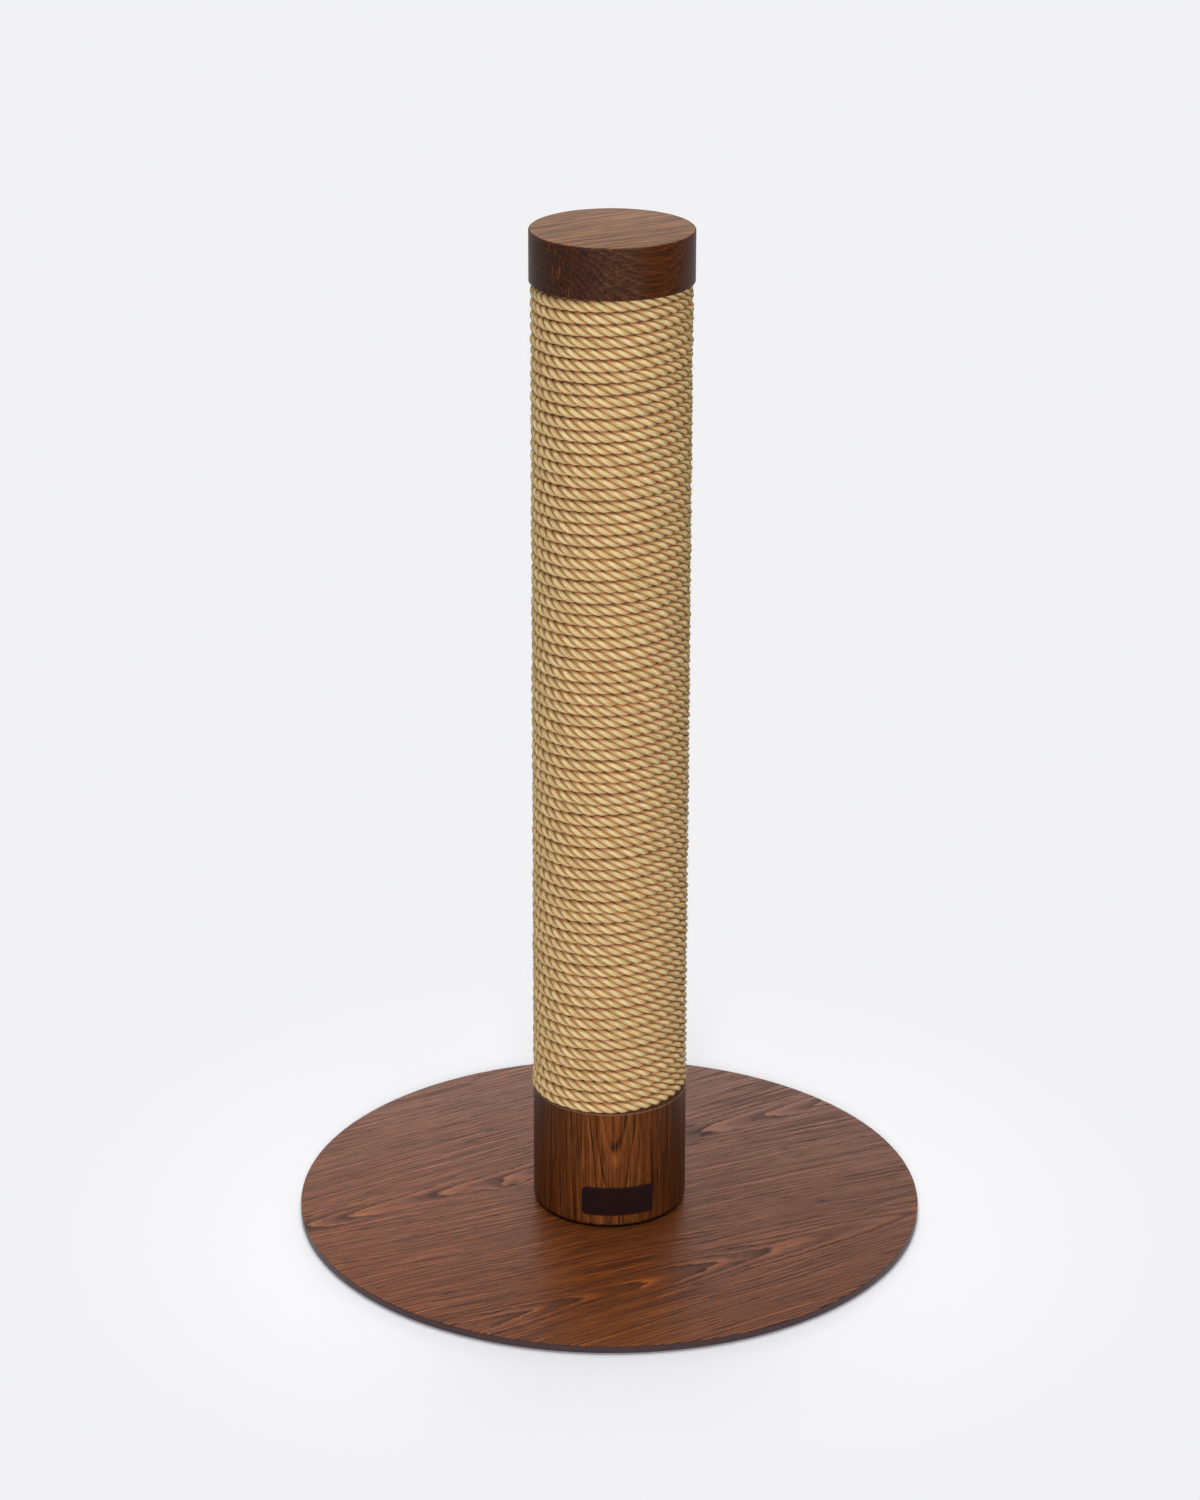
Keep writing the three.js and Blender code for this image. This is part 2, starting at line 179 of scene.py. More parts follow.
def cut(piece, cutters):
    """Cuts the cutters out of a piece and removes them."""
    for cutter in cutters:
        boolean = piece.modifiers.new("cut", "BOOLEAN")
        boolean.operation = "DIFFERENCE"
        boolean.solver = "MANIFOLD"
        boolean.object = cutter
    bpy.context.view_layer.update()
    graph = bpy.context.evaluated_depsgraph_get()
    mesh = bpy.data.meshes.new_from_object(piece.evaluated_get(graph))
    piece.modifiers.clear()
    piece.data = mesh
    soften(mesh)
    for cutter in cutters:
        bpy.data.objects.remove(cutter)


def cut_at_screws(piece, outline_mm):
    """Cuts the same turned hole out of a piece at each screw."""
    cutters = [
        lathe(f"cutter_{i}", outline_mm, 24, spot, closed=False)
        for i, spot in enumerate(SCREW_SPOTS_MM)
    ]
    cut(piece, cutters)


# ---- Materials ----------------------------------------------------------------------


def linear(*srgb):
    """A colour of 0 to 255 as it is written in a picture, as linear light."""
    return tuple(
        c / 255 / 12.92 if c / 255 <= 0.04045 else ((c / 255 + 0.055) / 1.055) ** 2.4
        for c in srgb
    ) + (1.0,)


class Graph:
    """A node tree. Its helpers add nodes and return their output sockets."""

    def __init__(self, tree):
        self.nodes, self.links = tree.nodes, tree.links

    def feed(self, socket, value):
        if isinstance(value, bpy.types.NodeSocket):
            self.links.new(value, socket)
        else:
            socket.default_value = value

    def add(self, kind, inputs=None, out=0, **props):
        node = self.nodes.new("ShaderNode" + kind)
        for key, value in props.items():
            setattr(node, key, value)
        for key, value in (inputs or {}).items():
            self.feed(node.inputs[key], value)
        return node.outputs[out]

    def end(self, kind, shader):
        """Adds the tree's output node."""
        self.feed(self.nodes.new("ShaderNode" + kind).inputs[0], shader)

    def split(self, vector):
        node = self.nodes.new("ShaderNodeSeparateXYZ")
        self.feed(node.inputs[0], vector)
        return node.outputs

    def math(self, operation, a, b=0.0):
        return self.add("Math", {0: a, 1: b}, operation=operation)

    def total(self, *terms):
        result = terms[0]
        for term in terms[1:]:
            result = self.math("ADD", result, term)
        return result

    def minus(self, a, b):
        return self.math("SUBTRACT", a, b)

    def times(self, a, b):
        return self.math("MULTIPLY", a, b)

    def over(self, a, b):
        return self.math("DIVIDE", a, b)

    def rest(self, share):
        """What a share leaves of 1."""
        return self.minus(1.0, share)

    def off(self, value, middle):
        """How far a value lies from a middle, to either side."""
        return self.math("ABSOLUTE", self.minus(value, middle))

    def shift(self, noise, amount):
        """A noise of 0 to 1 as a shift to both sides, over an amount in all."""
        return self.times(self.minus(noise, 0.5), amount)

    def scaled(self, vector, factor):
        return self.add("VectorMath", {0: vector, "Scale": factor}, operation="SCALE")

    def multiplied(self, a, b):
        return self.add("VectorMath", {0: a, 1: b}, operation="MULTIPLY")

    def length(self, vector):
        return self.add("VectorMath", {0: vector}, out="Value", operation="LENGTH")

    def dot(self, vector, direction):
        return self.add(
            "VectorMath", {0: vector, 1: direction}, out="Value", operation="DOT_PRODUCT"
        )

    def place_mm(self):
        """The point on the object in millimetres."""
        return self.scaled(self.add("TexCoord", out="Object"), 1000.0)

    def stretch(self, x, y, z, sizes):
        """Three coordinates over the size of a noise's cells along each."""
        cells = [self.over(a, size) for a, size in zip((x, y, z), sizes)]
        return self.add("CombineXYZ", dict(enumerate(cells)))

    def noise(self, vector, detail=2.0, roughness=0.5, distortion=0.0):
        return self.add(
            "TexNoise",
            {
                "Vector": vector,
                "Scale": 1.0,
                "Detail": detail,
                "Roughness": roughness,
                "Distortion": distortion,
            },
        )

    def even_noise(self, scale, *look):
        """Noise that is alike in all directions, with this many cells per millimetre."""
        return self.noise(self.scaled(self.place_mm(), scale), *look)

    def fit(self, value, low, high, to_low=0.0, to_high=1.0, smooth=False):
        return self.add(
            "MapRange",
            {"Value": value, 1: low, 2: high, 3: to_low, 4: to_high},
            interpolation_type="SMOOTHSTEP" if smooth else "LINEAR",
        )

    def ramp(self, value, stops):
        node = self.nodes.new("ShaderNodeValToRGB")
        self.feed(node.inputs[0], value)
        points = node.color_ramp.elements
        while len(points) < len(stops):
            points.new(0.5)
        for point, (at, color) in zip(points, stops):
            point.position = at
            point.color = color
        return node.outputs[0]

    def mix(self, share, a, b, blend="MIX"):
        return self.add(
            "Mix", {0: share, 6: a, 7: b}, out=2, data_type="RGBA", blend_type=blend
        )

    def mix_shader(self, share, a, b):
        return self.add("MixShader", {0: share, 1: a, 2: b})

    def looked_at(self):
        """1 for what the camera sees, directly or in a gloss."""
        return self.math(
            "MAXIMUM",
            self.add("LightPath", out="Is Camera Ray"),
            self.add("LightPath", out="Is Glossy Ray"),
        )


class Paint(Graph):
    """A node material with one Principled shader."""

    def __init__(self, name, **settings):
        self.material = bpy.data.materials.new(name)
        self.material.use_nodes = True
        super().__init__(self.material.node_tree)
        self.shader = self.nodes["Principled BSDF"]
        for socket, value in settings.items():
            self.shader.inputs[socket.replace("_", " ")].default_value = value

    def color(self, color):
        self.feed(self.shader.inputs["Base Color"], color)

    def roughness(self, value):
        self.feed(self.shader.inputs["Roughness"], value)

    def bump(self, height, distance_mm, strength):
        """Bump from a height of 0 to 1. The distance is what a height of 1 stands for."""
        bump = self.add(
            "Bump", {"Height": height, "Strength": strength, "Distance": distance_mm * MM}
        )
        self.feed(self.shader.inputs["Normal"], bump)

    def wear(self, piece):
        piece.data.materials.clear()
        piece.data.materials.append(self.material)


# ---- Wood: collar and cap -----------------------------------------------------------


def wood_axes(paint, grain, up):
    """Position along the grain and across it twice, in millimetres."""
    grain, up = Vector(grain).normalized(), Vector(up).normalized()
    place = paint.place_mm()
    return (
        paint.dot(place, grain),
        paint.dot(place, up.cross(grain)),
        paint.dot(place, up),
    )


def ring_shade(paint, rings, tones, strength):
    """Growth rings from their light start to their dark end, faded by strength."""
    early, middle, late = tones
    stops = [
        (0.0, late),
        (0.06, middle),
        (0.16, early),
        (0.5, middle),
        (0.8, middle),
        (0.93, late),
        (1.0, late),
    ]
    return paint.mix(strength, middle, paint.ramp(paint.math("FRACT", rings), stops))


PORE_COLOR = (0.010, 0.005, 0.003, 1)


def solid_wood(name, grain, up, pith, lean, tones, ring_mm, rings_show, drift, seed, specular):
    """Solid wood whose growth rings run round a leaning pith, with streaks and pores.

    pith is the rings' middle on the two axes across the grain, in millimetres, and lean
    is how far it moves per millimetre along the grain. drift is how far the rings wander,
    broadly and finely. Returns the paint, and the wood's shade for it.
    """
    paint = Paint(name, IOR=1.46, Specular_IOR_Level=specular)
    along, side, rise = wood_axes(paint, grain, up)
    from_side = paint.total(side, -pith[0], paint.times(along, -lean[0]))
    from_rise = paint.total(rise, -pith[1], paint.times(along, -lean[1]))
    reach = paint.math(
        "SQRT", paint.total(paint.times(from_side, from_side), paint.times(from_rise, from_rise))
    )
    along = paint.math("ADD", along, seed * 100)

    def wood_noise(cells_mm, *look):
        return paint.noise(paint.stretch(along, side, rise, cells_mm), *look)

    reach = paint.total(
        reach,
        paint.shift(wood_noise((90, 24, 24), 1), drift[0]),
        paint.shift(wood_noise((26, 5, 5), 2), drift[1]),
    )
    pace = paint.noise(paint.stretch(reach, seed, 0.0, (5, 1, 1)), 1)
    rings = paint.over(paint.total(reach, paint.times(pace, 5.0)), ring_mm)
    strength = paint.fit(wood_noise((45, 3.5, 3.5), 1), 0.36, 0.64, 0.15, rings_show)
    shade = ring_shade(paint, rings, tones, strength)
    early, _, late = tones
    streak = wood_noise((48, 1.5, 1.5), 2, 0.6)
    shade = paint.mix(paint.fit(streak, 0.53, 0.70, 0.0, 0.8), shade, late)
    shade = paint.mix(paint.fit(streak, 0.47, 0.30, 0.0, 0.6), shade, early)
    fine = wood_noise((15, 0.7, 0.7), 3, 0.65)
    pores = paint.fit(wood_noise((6.0, 0.36, 0.36), 1), 0.62, 0.72, smooth=True)
    shade = paint.scaled(shade, paint.fit(fine, 0.3, 0.7, 0.66, 1.34))
    shade = paint.mix(paint.times(pores, 0.6), shade, PORE_COLOR)
    paint.roughness(paint.fit(fine, 0.2, 0.8, 0.36, 0.52))
    paint.bump(paint.minus(paint.times(fine, 0.5), paint.times(pores, 0.6)), 0.05, 0.6)
    return paint, shade


CAP_FOOT_MM = 616.2  # where the cap's sharp lower edge shows, on top of the rope
FOOT_INSET_MM, FOOT_STEP_MM = 5.4, 0.7  # the step under the collar's round foot
TURNED_SEGMENTS = 128

# Painted shade for the collar's left and right sides.
SIDE_SHADE_TINT = (0.46, 0.42, 0.38, 1)
# A painted highlight for the collar's rounded upper edge.
EDGE_HIGHLIGHT = linear(150, 120, 98)


def collar_paint():
    paint, shade = solid_wood(
        "collar_walnut",
        grain=UP,
        up=TO_BADGE,
        pith=(-3.4, 31),
        lean=(0.0, 0.11),
        tones=(linear(138, 80, 38), linear(104, 57, 27), linear(40, 17, 7)),
        ring_mm=3.4,
        rings_show=1.0,
        drift=(4, 1.2),
        seed=1.0,
        specular=0.12,
    )
    # Painted shade darkens the wood towards its left and right sides, away from the front, and a
    # painted highlight makes the rounded upper edge paler.
    _, side, rise = wood_axes(paint, TO_BADGE, UP)
    side_shade = paint.fit(paint.off(side, -0.5), 3, 42)
    shade = paint.mix(side_shade, shade, SIDE_SHADE_TINT, "MULTIPLY")
    # Painted highlight: the rounded upper edge is paler.
    edge_highlight = paint.fit(rise, COLLAR_TOP_MM - 0.9, COLLAR_TOP_MM - 0.5, 0.0, 0.35)
    paint.color(paint.mix(edge_highlight, shade, EDGE_HIGHLIGHT))
    return paint


collar = lathe(
    "foot_collar_turned",
    rounded(
        [
            (ROD_HOLE_RADIUS_MM, VENEER_TOP_MM + NUT_BORE_DEPTH_MM),
            (NUT_BORE_RADIUS_MM, VENEER_TOP_MM + NUT_BORE_DEPTH_MM),
            (NUT_BORE_RADIUS_MM, VENEER_TOP_MM),
            (COLLAR_RADIUS_MM - FOOT_INSET_MM, VENEER_TOP_MM),
            (COLLAR_RADIUS_MM - FOOT_INSET_MM, VENEER_TOP_MM + FOOT_STEP_MM),
            (COLLAR_RADIUS_MM, VENEER_TOP_MM + FOOT_STEP_MM),
            (COLLAR_RADIUS_MM, COLLAR_TOP_MM),
            (SPIGOT_RADIUS_MM, COLLAR_TOP_MM),
            (SPIGOT_RADIUS_MM, COLLAR_TOP_MM + COLLAR_SPIGOT_MM),
            (ROD_HOLE_RADIUS_MM, COLLAR_TOP_MM + COLLAR_SPIGOT_MM),
        ],
        {5: 4.0, 6: 0.8, 8: 1.0},
        6,
    ),
    TURNED_SEGMENTS,
)
cut_at_screws(
    collar,
    cylinder(INSERT_HOLE_RADIUS_MM, VENEER_TOP_MM - 1, VENEER_TOP_MM + INSERT_HOLE_DEPTH_MM),
)
collar_paint().wear(collar)
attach(collar, "root")
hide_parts("foot_collar")


# What each part of the cap's surface makes of the wood's shade.
LONG_GRAIN_TINT = (1.7, 1.2, 0.5, 1)
GREY_TINT = (0.94, 1.5, 3.6, 1)
# A painted sheen that makes the flat top paler and bluer.
TOP_SHEEN_TINT = (2.45, 4.5, 10.0, 1)
RAY_COLOR = linear(136, 82, 44)


def cap_paint():
    paint, shade = solid_wood(
        "cap_walnut",
        grain=GRAIN_LINE,
        up=UP,
        pith=(-4, 604),
        lean=(0.06, 0.03),
        tones=(linear(80, 46, 28), linear(55, 32, 22), linear(30, 17, 12)),
        ring_mm=3.5,
        rings_show=0.6,
        drift=(5, 1.2),
        seed=2.0,
        specular=0.08,
    )
    along, side, rise = wood_axes(paint, GRAIN_LINE, UP)
    normal = paint.add("NewGeometry", out="Normal")
    face = paint.fit(paint.dot(normal, UP), 0.93, 0.99)
    end_grain = paint.math("ABSOLUTE", paint.dot(normal, GRAIN_LINE))
    end_grain = paint.fit(end_grain, 0.45, 0.9, smooth=True)

    # Rays show as light flecks in two zones of the end grain.
    leaning = paint.math("ADD", side, paint.times(rise, 0.1))
    rays = paint.noise(paint.stretch(leaning, rise, 0.0, (0.7, 13.0, 1)), 1)
    rays = paint.times(paint.fit(rays, 0.62, 0.72, 0.0, 0.85), end_grain)
    ray_zone = paint.fit(paint.off(paint.off(side, 0.0), 19.0), 6.0, 13.0, 1.0, 0.0, smooth=True)
    shade = paint.mix(paint.times(rays, ray_zone), shade, RAY_COLOR)

    # Long grain is warmer, except where the side towards the badge, and the one across
    # from it, are grey.
    shade = paint.mix(paint.rest(end_grain), shade, LONG_GRAIN_TINT, "MULTIPLY")
    x_mm = paint.dot(paint.place_mm(), (1, 0, 0))
    grey = paint.fit(paint.off(x_mm, -3.0), 14, 30, 1.0, 0.0, smooth=True)
    grey = paint.times(grey, paint.rest(paint.math("MAXIMUM", face, end_grain)))
    shade = paint.mix(grey, shade, GREY_TINT, "MULTIPLY")

    # The flat top is painted paler and bluer, as a painted sheen, with the grain's lines across it.
    shade = paint.mix(face, shade, TOP_SHEEN_TINT, "MULTIPLY")
    lines = paint.noise(paint.stretch(along, side, rise, (80, 1.7, 1.7)), 3, 0.7)
    lines = paint.mix(face, (1, 1, 1, 1), paint.fit(lines, 0.4, 0.6, 1.38, 0.52))
    paint.color(paint.multiplied(shade, lines))
    return paint


cap = lathe(
    "top_cap_turned",
    rounded(
        [
            (0, CAP_HOLE_TOP_MM),
            (CAP_HOLE_RADIUS_MM, CAP_HOLE_TOP_MM),
            (CAP_HOLE_RADIUS_MM, CAP_BOTTOM_MM - CAP_SPIGOT_MM),
            (SPIGOT_RADIUS_MM, CAP_BOTTOM_MM - CAP_SPIGOT_MM),
            (SPIGOT_RADIUS_MM, CAP_FOOT_MM),
            (CAP_RADIUS_MM, CAP_FOOT_MM),
            (CAP_RADIUS_MM, TOP_MM),
            (0, TOP_MM),
        ],
        {3: 1.0, 5: 0.4, 6: 1.1},
        6,
    ),
    TURNED_SEGMENTS,
    closed=False,
)
cap_paint().wear(cap)
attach(cap, "root")
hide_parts("top_cap")


# ---- Base: veneer and plate ---------------------------------------------------------


def disc(name, bottom, top, edge):
    """A flat disc of the plate's size with rounded edges."""
    outline = rounded(cylinder(PLATE_RADIUS_MM, bottom, top), {1: edge, 2: edge}, 3)
    return lathe(name, outline, 256, closed=False)


ABOVE_BASE_MM = 8  # clear of the veneer's top
veneer = disc("base_veneer_sheet", VENEER_BOTTOM_MM, VENEER_TOP_MM, 0.3)
cut_at_screws(veneer, cylinder(SCREW_HOLE_RADIUS_MM, 4, ABOVE_BASE_MM))
plate = disc("base_plate_disc", PLATE_BOTTOM_MM, PLATE_TOP_MM, 0.5)
cut_at_screws(
    plate,
    [
        (0, 0),
        (SINK_RADIUS_MM, 0),
        (SINK_RADIUS_MM, PLATE_BOTTOM_MM),
        (SCREW_HOLE_RADIUS_MM, PLATE_BOTTOM_MM + SINK_DEPTH_MM),
        (SCREW_HOLE_RADIUS_MM, ABOVE_BASE_MM),
        (0, ABOVE_BASE_MM),
    ],
)


FLAME_LOW_MM, FLAME_HIGH_MM = -116.0, 50.0  # the flames' middle lines, across the grain
FLAME_ROUND_MM = 13.3
FLAME_CLIMB = 0.066  # how fast the rings come up along the grain
VENEER_RING_MM = 3.3
KNOT_MM = (-50.8, 39.6)  # along and across the grain
KNOT_SIZE_MM, KNOT_LIFT_MM = (13.0, 5.0), 5.0
VENEER_TONES = (linear(138, 77, 37), linear(102, 54, 25), linear(40, 19, 10))
TIP_DARK, TIP_BRIGHT = linear(62, 31, 16), linear(156, 88, 43)
TIP_ORANGE, TIP_END = linear(131, 72, 34), linear(56, 28, 14)
DASH_COLOR = (0.012, 0.006, 0.004, 1)
# The colour of a painted contact shadow round the collar's foot.
CONTACT_SHADOW_COLOR = (0.004, 0.002, 0.001, 1)


def veneer_paint():
    """Straight grain between two bands of flames, where the rings turn round in the cut.

    The ring number falls to a valley at the lower band and rises to a ridge at the upper
    one, and it climbs slowly along the grain.
    """
    paint = Paint("veneer_walnut", IOR=1.45, Specular_IOR_Level=0.31)
    along, across, _ = wood_axes(paint, GRAIN_LINE, UP)

    def flat_noise(y, seed, cells_mm, *look):
        return paint.noise(paint.stretch(along, y, seed, (*cells_mm, 1)), *look)

    def from_flames(value):
        return paint.math(
            "MINIMUM", paint.off(value, FLAME_LOW_MM), paint.off(value, FLAME_HIGH_MM)
        )

    broad = flat_noise(across, 3.0, (75, 16), 1)
    wavy = flat_noise(across, 5.0, (45, 5), 2, 0.6)
    jag = flat_noise(across, 8.0, (9, 2.0), 2, 0.6)
    jagged = paint.fit(from_flames(across), 8.0, 24.0, 4.0, 0.5, smooth=True)
    bent = paint.total(across, paint.shift(broad, 7.0), paint.shift(jag, jagged))

    def bow(middle):
        away = paint.minus(bent, middle)
        return paint.math("SQRT", paint.math("ADD", paint.times(away, away), FLAME_ROUND_MM**2))

    turn_over = 2 * math.hypot((FLAME_HIGH_MM - FLAME_LOW_MM) / 2, FLAME_ROUND_MM)
    upper = paint.math("GREATER_THAN", bent, (FLAME_LOW_MM + FLAME_HIGH_MM) / 2)
    height = paint.total(
        paint.times(bow(FLAME_LOW_MM), paint.rest(upper)),
        paint.times(paint.minus(turn_over, bow(FLAME_HIGH_MM)), upper),
        paint.times(along, FLAME_CLIMB),
        paint.fit(bent, FLAME_LOW_MM, FLAME_HIGH_MM, -0.66, -2.44),
        paint.shift(broad, 2.6),
        paint.shift(wavy, 1.5),
    )
    # A small knot, which the rings pass round.
    knot_along = paint.over(paint.minus(along, KNOT_MM[0]), KNOT_SIZE_MM[0])
    knot_across = paint.over(paint.minus(across, KNOT_MM[1]), KNOT_SIZE_MM[1])
    knot = paint.total(
        paint.times(knot_along, knot_along), paint.times(knot_across, knot_across)
    )
    lift = paint.math("POWER", math.e, paint.times(knot, -1.0))
    height = paint.math("ADD", height, paint.times(lift, KNOT_LIFT_MM))
    pace = paint.noise(paint.stretch(height, 0.0, 4.0, (6, 1, 1)), 1)
    rings = paint.over(paint.math("ADD", height, paint.times(pace, 6.0)), VENEER_RING_MM)
    strength = paint.fit(flat_noise(height, 9.0, (60, 3.4), 1), 0.34, 0.58, 0.25, 1.0)
    # The lower flames die out towards +X.
    flamed = paint.rest(
        paint.times(
            paint.fit(bent, -50, -72, smooth=True),
            paint.fit(along, 62, 100, 0.0, 0.8, smooth=True),
        )
    )
    early, middle, late = VENEER_TONES
    shade = ring_shade(paint, rings, VENEER_TONES, paint.times(strength, flamed))
    line = flat_noise(height, 1.0, (110, 1.4), 3, 0.65)
    shade = paint.mix(paint.fit(line, 0.52, 0.60, 0.0, 0.6), shade, late)
    shade = paint.mix(paint.fit(line, 0.48, 0.39, 0.0, 0.55), shade, early)
    # Where a flame's tip is cut flat, a ring shows broad, from orange to dark.
    tips = paint.ramp(
        paint.math("FRACT", rings),
        [(0.0, TIP_DARK), (0.07, TIP_BRIGHT), (0.26, TIP_ORANGE), (0.5, middle), (0.9, TIP_END)],
    )
    at_tips = paint.fit(from_flames(bent), 3.0, 10.0, 0.65, 0.0, smooth=True)
    shade = paint.mix(paint.times(at_tips, flamed), shade, tips)
    fibre = flat_noise(across, 0.0, (60, 1.2), 3, 0.65)
    dashes = paint.fit(flat_noise(across, 7.0, (18, 1.1), 1), 0.60, 0.69, smooth=True)
    shade = paint.scaled(shade, paint.fit(fibre, 0.3, 0.7, 0.54, 1.5))
    shade = paint.mix(paint.times(dashes, 0.75), shade, DASH_COLOR)
    # A painted contact shadow darkens the veneer in a ring where the collar stands.
    from_axis = paint.length(paint.multiplied(paint.place_mm(), (1, 1, 0)))
    contact_shadow = paint.fit(from_axis, COLLAR_RADIUS_MM - 1.0, COLLAR_RADIUS_MM - 2.4, 0.0, 0.95)
    shade = paint.mix(contact_shadow, shade, CONTACT_SHADOW_COLOR)
    # The knot has a dark core.
    shade = paint.mix(paint.fit(knot, 0.16, 0.02, 0.0, 0.85, smooth=True), shade, late)
    # Painted shade: the veneer is a little darker towards +X, where less light falls.
    painted_right_shade = paint.fit(paint.dot(paint.place_mm(), (1, 0, 0)), -130, 130, 1.0, 0.78)
    shade = paint.scaled(shade, painted_right_shade)
    paint.color(shade)
    # The dark, open grain is duller than the rest.
    depth = paint.add("RGBToBW", {"Color": shade})
    paint.roughness(paint.fit(depth, 0.008, 0.06, 0.6, 0.27))
    paint.bump(paint.minus(fibre, paint.times(dashes, 0.8)), 0.05, 0.5)
    return paint


veneer_paint().wear(veneer)
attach(veneer, "root")
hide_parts("base_veneer")

plate_paint = Paint("plate_paint", IOR=1.45)
mottle = plate_paint.even_noise(0.8, 3)
plate_paint.color(plate_paint.mix(mottle, linear(46, 27, 30), linear(60, 38, 40)))
plate_paint.roughness(plate_paint.fit(mottle, 0.3, 0.7, 0.38, 0.5))
plate_paint.bump(mottle, 0.02, 0.5)
plate_paint.wear(plate)
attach(plate, "root")
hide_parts("base_plate")


# ---- Rope ---------------------------------------------------------------------------

LAY_MM = 22.6  # the length of rope in which a strand goes round once
STEPS_PER_LAY, SIDES, STRANDS = 14, 21, 3
STRAND_RADIUS_MM, STRAND_OFFSET_MM = 2.10, 1.85
WINDING_LINE_MM = WINDING_RADIUS_MM - 0.2  # radius of the visible rope's own middle
SECTION_MM = STRAND_RADIUS_MM + STRAND_OFFSET_MM
HALF_ROW_MM, MOST_PRESSED_MM = 3.65, 4.05  # half a turn's room, and how far it bulges
OUTWARD_SWELL, END_BULGE_MM = 1.03, 0.8
WANDER_UP_MM, WANDER_OUT_MM = 0.24, 0.18  # from an even winding
FOOT_TURNS, FOOT_PRESS_MM = 2.2, 0.8  # the lowest turns are pressed out to the collar's edge
ROPE_UNEVEN, STRAND_UNEVEN = 0.025, 0.07  # shares of the thickness
TWIST_UNEVEN = 0.5  # radians
END_ROOM_MM, END_REACH_MM = 0.3, 0.25  # of the gap to the wood, for the section and its points

winding_floor = COLLAR_TOP_MM + ROPE_GAP_MM
winding_ceiling = CAP_FOOT_MM - ROPE_GAP_MM
first_middle = winding_floor + ROPE_TAIL_MM - ROPE_BANDS_MM / 2
last_middle = winding_ceiling - ROPE_TAIL_MM + ROPE_BANDS_MM / 2
rope_turns = (
    math.floor((last_middle - first_middle) / ROPE_DIAMETER_MM)
    + (ROPE_FINISH - ROPE_START) / math.tau
)


def sway(turn):
    return ROPE_SWAY_MM * np.sin(ROPE_START + turn * math.tau - ROPE_STEEP)


rope_pitch = (last_middle - first_middle - sway(rope_turns) + sway(0)) / rope_turns


def rope_middle(turn):
    return first_middle + turn * rope_pitch + sway(turn) - sway(0)


def smooth_noise(count, cell, rng):
    """Seeded noise of about -1 to 1 along a row of points, smooth over a cell's length."""
    knots = rng.uniform(-1, 1, int(count / cell) + 4)
    x = np.arange(count) / cell
    i = x.astype(int)
    t = x - i
    t = t * t * (3 - 2 * t)
    return knots[i] * (1 - t) + knots[i + 1] * t


